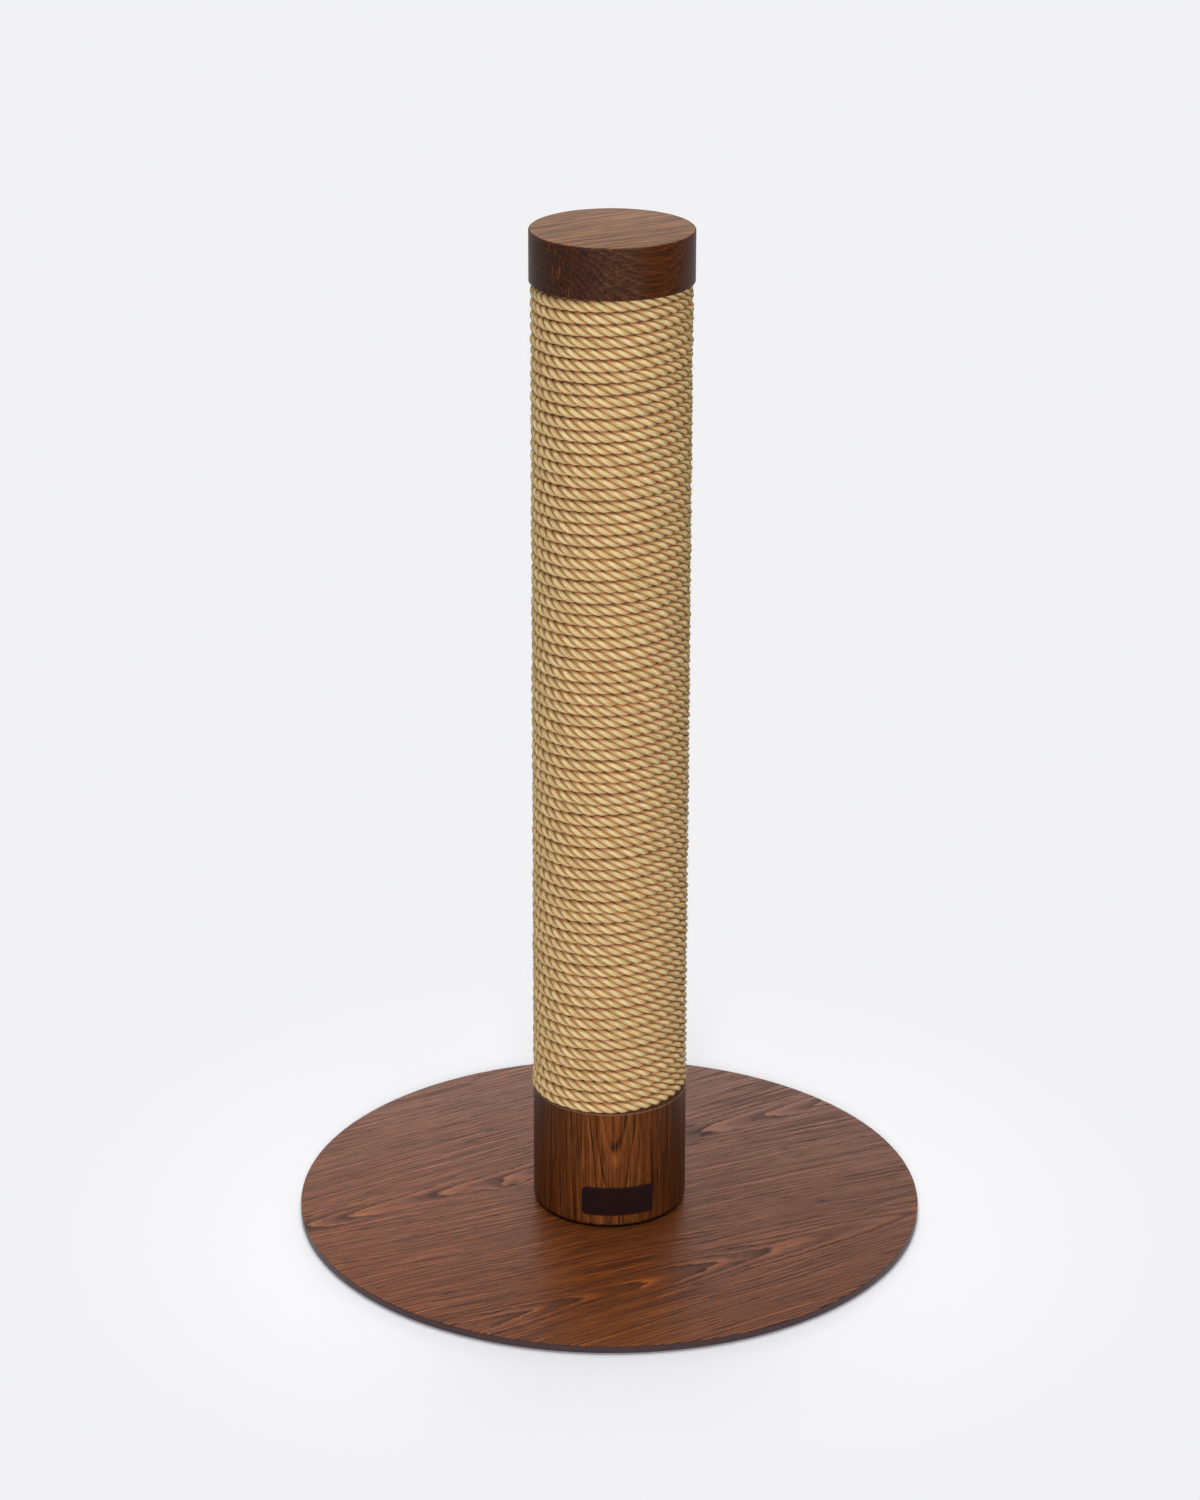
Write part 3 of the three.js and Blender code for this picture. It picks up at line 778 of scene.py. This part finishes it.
def build_rope():
    """The laid rope: three strands round a middle line that winds up the tube."""
    rng = np.random.default_rng(SEED)
    radius = WINDING_LINE_MM
    tail = ROPE_DIAMETER_MM
    length = rope_turns * math.tau * radius + 2 * tail
    count = int(length / LAY_MM * STEPS_PER_LAY) + 1
    s = np.linspace(-tail, length - tail, count)
    turn_len = math.tau * radius
    turn = s / turn_len
    inside = np.clip(turn, 0, rope_turns)
    over = s - inside * turn_len  # how far a point is along a straight end
    angle = ROPE_START + inside * math.tau
    outward = np.stack([np.cos(angle), np.sin(angle)], 1)
    heading = np.stack([-np.sin(angle), np.cos(angle)], 1)
    middle = rope_middle(turn)
    per_lay = STEPS_PER_LAY
    z = middle + WANDER_UP_MM * smooth_noise(count, per_lay * 3.1, rng)
    r = radius + WANDER_OUT_MM * smooth_noise(count, per_lay * 2.3, rng)
    r = r + FOOT_PRESS_MM * np.clip(FOOT_TURNS - turn, 0, 1)
    plump = 1 + ROPE_UNEVEN * smooth_noise(count, per_lay * 5, rng)
    twist = -math.tau * s / LAY_MM + TWIST_UNEVEN * smooth_noise(count, per_lay * 9, rng)

    k = np.arange(SIDES)
    strand = k / SIDES * STRANDS
    lobe = strand % 1.0  # 0 in a groove, 0.5 on a strand's crest
    from_crest = (lobe - 0.5) * math.tau / STRANDS
    reach = STRAND_OFFSET_MM * np.cos(from_crest) + np.sqrt(
        STRAND_RADIUS_MM**2 - (STRAND_OFFSET_MM * np.sin(from_crest)) ** 2
    )
    swell = np.stack(
        [1 + STRAND_UNEVEN * smooth_noise(count, per_lay * 1.7, rng) for _ in range(STRANDS)], 1
    )

    section = twist[:, None] + (k / SIDES * math.tau)[None, :]
    size = reach[None, :] * plump[:, None] * swell[:, np.floor(strand).astype(int)]
    out = np.cos(section) * size * OUTWARD_SWELL
    up = np.sin(section) * size
    # Neighbouring turns press each other flat.
    up /= (1 + np.abs(up / MOST_PRESSED_MM) ** 8) ** (1 / 8)
    press = np.abs(up)  # how near a point is to the next turn
    # The first and last turns are squeezed into the room that is left to them.
    low = z - HALF_ROW_MM
    high = z + HALF_ROW_MM
    clip_low = np.maximum(low, winding_floor - END_ROOM_MM)
    clip_high = np.minimum(high, winding_ceiling + END_ROOM_MM)
    centre = (clip_low + clip_high) / 2
    squash = (clip_high - clip_low) / (high - low)
    px = outward[:, 0, None] * (r[:, None] + out) + heading[:, 0, None] * over[:, None]
    py = outward[:, 1, None] * (r[:, None] + out) + heading[:, 1, None] * over[:, None]
    pz = centre[:, None] + up * squash[:, None]
    pz = np.clip(pz, winding_floor - END_REACH_MM, winding_ceiling + END_REACH_MM)
    points = np.stack([px, py, pz], 2).reshape(-1, 3)

    ring = np.arange(count - 1)[:, None] * SIDES
    a = ring + k[None, :]
    b = ring + ((k + 1) % SIDES)[None, :]
    quads = np.stack([a, b, b + SIDES, a + SIDES], 2).reshape(-1, 4)[:, ::-1]
    # The map has the millimetres along the rope, and the strands round it.
    u0 = np.repeat(s[:-1, None], SIDES, 1)
    u1 = np.repeat(s[1:, None], SIDES, 1)
    v0 = np.repeat(strand[None, :], count - 1, 0)
    v1 = np.repeat(((k + 1) / SIDES * STRANDS)[None, :], count - 1, 0)
    corners = [np.stack(pair, 2) for pair in ((u0, v0), (u0, v1), (u1, v1), (u1, v0))]
    uv = np.stack(corners, 2).reshape(-1, 4, 2)[:, ::-1]

    # Ends: a fan to a point a little outside each end.
    tip = len(points)
    ends = [points[:SIDES].mean(0), points[-SIDES:].mean(0)]
    ends[0][:2] -= heading[0] * END_BULGE_MM
    ends[1][:2] += heading[-1] * END_BULGE_MM
    points = np.vstack([points, ends])
    last = (count - 1) * SIDES
    after = [(i + 1) % SIDES for i in range(SIDES)]
    fans = [(tip, after[i], i) for i in range(SIDES)]
    fans += [(tip + 1, last + i, last + after[i]) for i in range(SIDES)]

    mesh = bpy.data.meshes.new("rope_laid")
    mesh.vertices.add(len(points))
    mesh.vertices.foreach_set("co", (points * MM).astype(np.float32).ravel())
    loops = np.concatenate([quads.ravel(), np.array(fans).ravel()]).astype(np.int32)
    sizes = np.concatenate([np.full(len(quads), 4), np.full(len(fans), 3)])
    starts = np.concatenate([[0], np.cumsum(sizes)[:-1]]).astype(np.int32)
    mesh.loops.add(len(loops))
    mesh.loops.foreach_set("vertex_index", loops)
    mesh.polygons.add(len(sizes))
    mesh.polygons.foreach_set("loop_start", starts)
    mesh.update(calc_edges=True)
    mesh.validate()
    layer = mesh.uv_layers.new(name="strands")
    flat = np.zeros((len(loops), 2), np.float32)
    flat[: len(quads) * 4] = uv.reshape(-1, 2)
    layer.data.foreach_set("uv", flat.ravel())
    pressed = mesh.attributes.new("press", "FLOAT", "POINT")
    pressed.data.foreach_set("value", np.concatenate([press.ravel(), [0, 0]]).astype(np.float32))
    mesh.shade_smooth()
    return linked("rope_laid", mesh)


STRAND_WIDTH_MM = 5.4
YARN_LEAN = 0.18  # how far the yarns lean across a strand, per length along it
JUTE_TONES = (linear(168, 136, 86), linear(210, 180, 124), linear(244, 223, 172))
# Painted shade for the grooves and for the rows where turns meet, and a painted highlight for the
# crests.
GROOVE_SHADE, CREST_HIGHLIGHT, ROW_SHADE = linear(154, 96, 56), linear(248, 230, 186), linear(196, 130, 84)


def rope_paint():
    """Three-strand jute: yarn lines run along each strand.

    Painted shade darkens the grooves between strands and the rows where two turns meet, and a
    painted highlight makes the crests paler.
    """
    paint = Paint("jute", IOR=1.4, Specular_IOR_Level=0.08, Roughness=0.9)
    along, strand, _ = paint.split(paint.add("UVMap", uv_map="strands"))
    across = paint.times(strand, STRAND_WIDTH_MM)
    yarn_along = paint.total(along, paint.times(across, YARN_LEAN))
    yarn_across = paint.total(across, paint.times(along, -YARN_LEAN))
    yarn = paint.noise(paint.stretch(yarn_along, yarn_across, 0.0, (16, 0.55, 1)), 2, 0.5)
    fibre = paint.noise(paint.stretch(yarn_along, yarn_across, 0.0, (5, 0.16, 1)), 3, 0.6)
    patch = paint.noise(paint.stretch(along, strand, 0.0, (30, 0.7, 1)), 2)
    value = paint.total(
        paint.times(yarn, 0.45), paint.times(fibre, 0.45), paint.times(patch, 0.35), -0.12
    )
    shade = paint.ramp(value, list(zip((0.3, 0.5, 0.7), JUTE_TONES)))
    crest = paint.rest(paint.off(paint.times(paint.math("FRACT", strand), 2.0), 1.0))
    # Painted shade in the grooves between strands.
    groove = paint.fit(crest, 0.0, 0.44, 1.0, 0.0, smooth=True)
    shade = paint.mix(paint.times(groove, 0.8), shade, GROOVE_SHADE)
    # Painted highlight on the strands' crests.
    shade = paint.mix(paint.fit(crest, 0.55, 1.0, 0.0, 0.4, smooth=True), shade, CREST_HIGHLIGHT)
    press = paint.add("Attribute", out="Fac", attribute_name="press")
    # Painted shade where two turns meet.
    row = paint.fit(press, 2.2, 3.4, 0.0, 0.8, smooth=True)
    paint.color(paint.mix(row, shade, ROW_SHADE))
    paint.bump(paint.total(paint.times(yarn, 0.6), paint.times(fibre, 0.4)), 0.35, 0.8)
    return paint


rope = build_rope()
rope_paint().wear(rope)
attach(rope, "root")
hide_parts("rope_winding")


def build_hairs(count=7000):
    """Loose fibres that stand a little off the rope, as thin three-sided tapering tubes."""
    rng = np.random.default_rng(SEED + 1)
    joints = 5
    angle = rng.uniform(0, math.tau, count)
    z = rng.uniform(winding_floor + 1, winding_ceiling - 1, count)
    length = rng.uniform(2.0, 7.5, count)
    base_r = WINDING_LINE_MM + SECTION_MM * rng.uniform(0.86, 1.0, count)
    outward = np.stack([np.cos(angle), np.sin(angle), np.zeros(count)], 1)
    around = np.stack([-np.sin(angle), np.cos(angle), np.zeros(count)], 1)
    up = np.tile([0.0, 0.0, 1.0], (count, 1))
    lie = rng.normal(-0.45, 0.6, count)
    flow = around * np.cos(lie)[:, None] + up * np.sin(lie)[:, None]
    flow *= rng.choice([-1.0, 1.0], count)[:, None]
    lift = rng.gamma(1.6, 0.12, count)
    curl = rng.normal(0, 0.35, (count, 3))
    start = outward * base_r[:, None] + up * z[:, None]
    points = []
    for j in range(joints):
        t = j / (joints - 1)
        points.append(
            start
            + flow * (length * t)[:, None]
            + outward * (length * lift * (t - 0.35 * t * t))[:, None]
            + curl * (length * 0.5 * t * t)[:, None]
        )
    points = np.stack(points, 1)
    thick = rng.uniform(0.03, 0.055, count)
    side = np.cross(flow, outward)
    vertices = []
    for j in range(joints):
        taper = 1 - 0.75 * j / (joints - 1)
        for c in range(3):
            turn = c * math.tau / 3
            vertices.append(
                points[:, j]
                + (outward * math.cos(turn) + side * math.sin(turn)) * (thick * taper)[:, None]
            )
    vertices = np.stack(vertices, 1)
    vertices[:, :, 2] = np.clip(vertices[:, :, 2], winding_floor, winding_ceiling)
    per = joints * 3
    faces = []
    for j in range(joints - 1):
        for c in range(3):
            d = (c + 1) % 3
            faces.append([j * 3 + c, j * 3 + d, (j + 1) * 3 + d, (j + 1) * 3 + c])
    faces = np.array(faces)
    quads = (faces[None] + (np.arange(count) * per)[:, None, None]).reshape(-1, 4)
    return mesh_object("rope_fuzz", vertices.reshape(-1, 3), quads.tolist(), 180)


hairs = build_hairs()
fuzz = Paint("jute_fuzz", IOR=1.4, Specular_IOR_Level=0.2, Roughness=0.7)
fuzz.color(fuzz.mix(fuzz.even_noise(0.35, 2), linear(146, 110, 72), linear(196, 164, 120)))
fuzz.wear(hairs)
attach(hairs, "root")


# ---- Badge --------------------------------------------------------------------------


def build_badge():
    """A bare label bent round the collar, with soft edges and a plain pressed border."""
    width, height, corner, thick = 46.4, 19.5, 3.0, 1.0
    edge_drop, edge_width = 0.35, 0.7
    border_depth, border_inset, border_width = 0.16, 1.7, 0.28
    inner = COLLAR_RADIUS_MM + 0.3
    nx, nz = 120, 52
    turn = math.radians(-90 + 6.2)
    middle = VENEER_TOP_MM + 19.2
    grid = []
    for side in (0, 1):
        for j in range(nz + 1):
            for i in range(nx + 1):
                # A square grid pressed into a rounded rectangle.
                x = (i / nx * 2 - 1) * width / 2
                z = (j / nz * 2 - 1) * height / 2
                edge_x, edge_z = width / 2 - corner, height / 2 - corner
                if abs(x) > edge_x and abs(z) > edge_z:
                    dx, dz = abs(x) - edge_x, abs(z) - edge_z
                    longest = max(dx, dz)
                    scale = longest / math.hypot(dx, dz)
                    x = math.copysign(edge_x + dx * scale, x)
                    z = math.copysign(edge_z + dz * scale, z)
                    inset = corner - longest
                else:
                    inset = min(width / 2 - abs(x), height / 2 - abs(z))
                out = inner
                if side:
                    out += thick
                    out -= edge_drop * max(0.0, 1 - inset / edge_width) ** 2
                    out -= border_depth * math.exp(-(((inset - border_inset) / border_width) ** 2))
                angle = turn + x / inner
                grid.append((out * math.cos(angle), out * math.sin(angle), middle + z))
    quads = []
    row, layer = nx + 1, (nx + 1) * (nz + 1)
    for j in range(nz):
        for i in range(nx):
            a = j * row + i
            quads.append((a, a + row, a + row + 1, a + 1))
            b = a + layer
            quads.append((b, b + 1, b + row + 1, b + row))
    rim = list(range(nx))
    rim += [j * row + nx for j in range(nz)]
    rim += [nz * row + nx - i for i in range(nx)]
    rim += [(nz - j) * row for j in range(nz)]
    for n, a in enumerate(rim):
        b = rim[(n + 1) % len(rim)]
        quads.append((a, b, b + layer, a + layer))
    return mesh_object("name_badge_bare", grid, quads, 50)


badge = build_badge()
badge_paint = Paint("badge_leather", IOR=1.45, Specular_IOR_Level=0.2)
pebble = badge_paint.add(
    "TexVoronoi", {"Vector": badge_paint.place_mm(), "Scale": 1.6}, feature="SMOOTH_F1"
)
blotch = badge_paint.even_noise(0.25, 3)
badge_paint.color(badge_paint.mix(blotch, linear(22, 9, 10), linear(36, 17, 17)))
badge_paint.roughness(badge_paint.fit(blotch, 0.3, 0.7, 0.5, 0.66))
badge_paint.bump(pebble, 0.05, 0.6)
badge_paint.wear(badge)
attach(badge, "root")
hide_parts("name_badge")


# ---- Pieces that stay as they are in the CAD -----------------------------------------


def metal_paint(name, color, lines_per_mm):
    paint = Paint(name, Metallic=1.0)
    fine = paint.noise(paint.multiplied(paint.place_mm(), lines_per_mm), 3, 0.6)
    darker = tuple(c * 0.8 for c in color[:3]) + (1,)
    paint.color(paint.mix(fine, darker, color))
    paint.roughness(paint.fit(fine, 0.3, 0.7, 0.26, 0.42))
    paint.bump(fine, 0.02, 0.4)
    return paint


def felt_paint():
    paint = Paint("felt", Roughness=0.95, Specular_IOR_Level=0.1)
    matted = paint.even_noise(1.4, 4, 0.7, 1.5)
    paint.color(paint.mix(matted, linear(38, 35, 34), linear(74, 69, 66)))
    paint.bump(matted, 0.3, 0.8)
    return paint


PAPER_WIDTH_MM = 90.0  # the tube's height that one turn of the paper takes


def card_paint():
    """Brown paper wound in a spiral, with a narrow seam."""
    paint = Paint("paper_tube", Roughness=0.85, Specular_IOR_Level=0.2)
    x, y, z = paint.split(paint.place_mm())
    round_tube = paint.over(paint.math("ARCTAN2", y, x), math.tau)
    spiral = paint.math("FRACT", paint.total(paint.over(z, PAPER_WIDTH_MM), round_tube))
    seam = paint.fit(spiral, 0.0, 0.012, 1.0, 0.0)
    fibre = paint.even_noise(0.7, 4, 0.65)
    shade = paint.mix(fibre, linear(146, 118, 84), linear(184, 156, 118))
    paint.color(paint.mix(paint.times(seam, 0.6), shade, linear(96, 74, 50)))
    paint.bump(paint.minus(paint.times(fibre, 0.3), seam), 0.1, 0.6)
    return paint


zinc = metal_paint("zinc_plate", (0.56, 0.58, 0.61, 1), (1.2, 1.2, 5.0))
brass = metal_paint("insert_brass", (0.60, 0.40, 0.13, 1), (1.2, 1.2, 4.0))
felt = felt_paint()
card = card_paint()

PAINT_OF_NODES = {  # by how a node's name starts
    "tie_rod": zinc,
    "rod_": zinc,
    "rope_tack": zinc,
    "base_screw": zinc,
    "base_insert": brass,
    "cap_insert": brass,
    "core_tube": card,
    "felt_pad": felt,
}
for name, node in NODES.items():
    for start, paint in PAINT_OF_NODES.items():
        if name.startswith(start):
            paint.wear(node)
            soften(node.data)


# ---- Room, lamps and camera ----------------------------------------------------------

BACKDROP = linear(242, 242, 245)
NEAR_PAPER, FAR_PAPER = linear(232, 232, 235), (0.22, 0.22, 0.22, 1)
FADE_FROM, FADE_TO = 0.2, 0.4  # metres from the post's axis
FLOOR_RINGS_MM = (6000, 3000, 1500, 900, 700, 500, 300, 100, 0)
ROOM_LIGHT = (0.98, 0.99, 1.0, 1)


def build_floor():
    """A pale floor that runs into the backdrop.

    Near the post it is matt paper with the post's shadow. Further out it looks like the
    backdrop, to the camera and in a gloss, and less light comes back from it, as from a
    small sheet of paper.
    """
    floor = lathe("floor", [(r, 0.0) for r in FLOOR_RINGS_MM], 96, closed=False)
    floor.data.flip_normals()
    material = bpy.data.materials.new("pale_floor")
    material.use_nodes = True
    graph = Graph(material.node_tree)
    graph.nodes.clear()
    from_post = graph.length(graph.add("TexCoord", out="Object"))
    fade = graph.fit(from_post, FADE_FROM, FADE_TO, smooth=True)
    far_bounce = graph.times(graph.add("LightPath", out="Is Diffuse Ray"), fade)
    matt = graph.add("BsdfDiffuse", {0: graph.mix(far_bounce, NEAR_PAPER, FAR_PAPER)})
    glow = graph.add("Emission", {0: BACKDROP})
    seen_far = graph.times(graph.looked_at(), fade)
    graph.end("OutputMaterial", graph.mix_shader(seen_far, matt, glow))
    floor.data.materials.append(material)


def build_world():
    """The backdrop's colour where it is looked at, and a faint light from all sides."""
    world = bpy.data.worlds.new("studio")
    bpy.context.scene.world = world
    world.use_nodes = True
    graph = Graph(world.node_tree)
    graph.nodes.clear()
    through = graph.add("LightPath", out="Is Transmission Ray")
    seen = graph.math("MAXIMUM", graph.looked_at(), through)
    dim = graph.add("Background", {0: ROOM_LIGHT, 1: 0.07})
    pale = graph.add("Background", {0: BACKDROP, 1: 1.0})
    graph.end("OutputWorld", graph.mix_shader(seen, dim, pale))


def area_lamp(name, place, aim, size, watts):
    lamp = bpy.data.lights.new(name, "AREA")
    lamp.shape = "RECTANGLE"
    lamp.size, lamp.size_y = size
    lamp.energy = watts
    lamp_object = linked(name, lamp)
    lamp_object.location = place
    lamp_object.visible_camera = False
    lamp_object.visible_glossy = False  # glossy surfaces show the pale room alone
    lamp_object.rotation_mode = "QUATERNION"
    lamp_object.rotation_quaternion = (Vector(aim) - Vector(place)).to_track_quat("-Z", "Y")


CAMERA_PLACE = (0.0, -2.38419, 1.24230)
CAMERA_DEGREES = (21.248, -0.160, 0.113)  # pitch, yaw and roll
CAMERA_LENS_MM, CAMERA_SENSOR_MM = 98.544, 36.0


def build_camera():
    """The photograph's camera, fitted to the object's ellipses for a frame of 1200 x 1500."""
    pitch, yaw, roll = (math.radians(angle) for angle in CAMERA_DEGREES)
    forward = Vector(
        (math.sin(yaw) * math.cos(pitch), math.cos(yaw) * math.cos(pitch), -math.sin(pitch))
    )
    right = Vector((math.cos(yaw), -math.sin(yaw), 0))
    up = right.cross(forward)
    right, up = (
        right * math.cos(roll) + up * math.sin(roll),
        up * math.cos(roll) - right * math.sin(roll),
    )
    data = bpy.data.cameras.new("camera")
    data.lens, data.sensor_width = CAMERA_LENS_MM, CAMERA_SENSOR_MM
    data.clip_start, data.clip_end = 0.05, 50
    camera = linked("camera", data)
    turned = Matrix((right, up, -forward)).transposed().to_4x4()
    turned.translation = CAMERA_PLACE
    camera.matrix_world = turned
    bpy.context.scene.camera = camera


build_floor()
area_lamp("lamp_front", (-0.06, -3.2, 1.2), (0, 0, 0.36), (0.8, 1.0), 89)
area_lamp("lamp_top", (-0.02, 0.3, 3.0), (0, 0, 0), (1.4, 2.8), 76)
area_lamp("lamp_back", (0.1, 3.2, 1.25), (0, 0, 0.2), (2.6, 1.2), 47)
build_world()
build_camera()
bpy.context.scene.view_settings.view_transform = "Standard"
